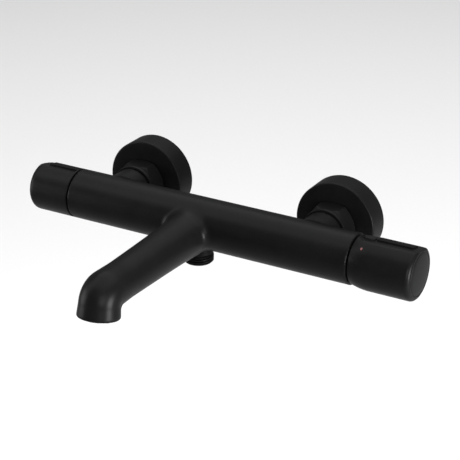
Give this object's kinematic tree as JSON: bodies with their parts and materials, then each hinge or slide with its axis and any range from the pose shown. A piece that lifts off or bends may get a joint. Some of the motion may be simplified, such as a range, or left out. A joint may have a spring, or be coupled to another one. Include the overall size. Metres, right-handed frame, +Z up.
{
  "type": "wall mounted thermostatic bath mixer",
  "caption": "Wall mounted bath and shower mixer: round bar with a thermostat handle, a flow handle, a straight spout with a turned-down mouth and a shower outlet below.",
  "frame": {"origin": "on the wall plane, midway between the two inlets, at the height of the body's axis", "axes": "+Z up; +Y into the wall, so the mixer stands out towards -Y; +X to the right as seen from the room, towards the thermostat handle"},
  "size_m": [0.292, 0.2153, 0.0576],
  "materials": {
    "black_coating": "fine matte black coating, slightly satin",
    "black_plastic": "matte black moulded plastic with a fine grain",
    "dark_metal": "black coated metal, thread crests slightly rubbed",
    "brass": "machined brass, dull",
    "steel": "drawn or turned stainless steel",
    "rubber": "black moulded sealing rubber",
    "white_plastic": "white moulded plastic",
    "grey_plastic": "grey moulded plastic",
    "button_grey": "dark grey moulded plastic",
    "ceramic": null,
    "red_mark": "glossy red dot"
  },
  "bodies": {
    "mixer": {"body": "black_coating", "escutcheon_left": "black_coating", "escutcheon_right": "black_coating", "union_nut_left": "black_coating", "union_nut_right": "black_coating", "eccentric_union_left": "brass", "eccentric_union_right": "brass", "inlet_tail_left": "brass", "inlet_tail_right": "brass", "inlet_washer_left": "rubber", "inlet_washer_right": "rubber", "strainer_left": "steel", "strainer_right": "steel", "check_valve_housing_left": "white_plastic", "check_valve_housing_right": "white_plastic", "check_valve_spring_left": "steel", "check_valve_spring_right": "steel", "shower_nipple": "dark_metal", "shower_nipple_seal": "rubber", "shower_valve_housing": "white_plastic", "shower_valve_spring": "steel", "thermostat_sleeve": "grey_plastic", "thermostat_o_rings": "rubber", "thermostat_spring": "steel", "thermostat_nut": "brass", "thermostat_collar": "black_plastic", "thermostat_stop_ring": "white_plastic", "flow_cartridge": "brass", "flow_gasket": "rubber", "flow_fixed_disc": "ceramic", "flow_stop_ring": "white_plastic", "aerator_housing": "black_plastic", "aerator_insert": "grey_plastic", "aerator_seal": "rubber"},
    "thermostat_knob": {"thermostat_handle": "black_coating", "thermostat_grip_strip": "black_plastic", "temperature_mark": "red_mark", "thermostat_spindle": "brass", "thermostat_spindle_seal": "rubber", "thermostat_screw": "steel", "thermostat_cap": "black_coating", "safety_spring": "steel"},
    "stop_button": {"safety_button": "button_grey"},
    "regulator": {"thermostat_spool": "steel", "wax_element": "brass"},
    "flow_knob": {"flow_handle": "black_coating", "flow_grip_strip": "black_plastic", "flow_screw": "steel", "flow_cap": "black_coating", "flow_spindle": "brass", "flow_rotating_disc": "ceramic", "flow_circlip": "steel", "flow_o_ring": "rubber"},
    "left_check": {"check_valve_poppet_left": "grey_plastic"},
    "right_check": {"check_valve_poppet_right": "grey_plastic"},
    "shower_check": {"shower_valve_poppet": "grey_plastic"}
  },
  "joints": [
    {"name": "thermostat_turn", "type": "hinge", "parent": "mixer", "child": "thermostat_knob", "pos_m": [0.112, -0.0605, 0], "axis": [1, 0, 0], "range_deg": [-190, 60]},
    {"name": "safety_press", "type": "slide", "parent": "thermostat_knob", "child": "stop_button", "axis": [0, -0.2079, -0.9781], "range_m": [0, 0.0014], "stiffness_N_per_m": 400, "springref_m": -0.001},
    {"name": "regulating_slide", "type": "slide", "parent": "mixer", "child": "regulator", "axis": [1, 0, 0], "range_m": [-0.0016, 0.0006]},
    {"name": "flow_turn", "type": "hinge", "parent": "mixer", "child": "flow_knob", "pos_m": [-0.101, -0.0605, 0], "axis": [1, 0, 0], "range_deg": [-75, 75]},
    {"name": "left_check_lift", "type": "slide", "parent": "mixer", "child": "left_check", "axis": [0, -1, 0], "range_m": [0, 0.0024], "stiffness_N_per_m": 120, "springref_m": -0.001},
    {"name": "right_check_lift", "type": "slide", "parent": "mixer", "child": "right_check", "axis": [0, -1, 0], "range_m": [0, 0.0024], "stiffness_N_per_m": 120, "springref_m": -0.001},
    {"name": "shower_check_lift", "type": "slide", "parent": "mixer", "child": "shower_check", "axis": [0, 0, -1], "range_m": [0, 0.0024], "stiffness_N_per_m": 120, "springref_m": -0.001, "deforming": ["shower_valve_spring"]}
  ],
  "couplings": [
    {"joint": "regulating_slide", "follows": "thermostat_turn", "m_per_rad": 0.00045}
  ]
}
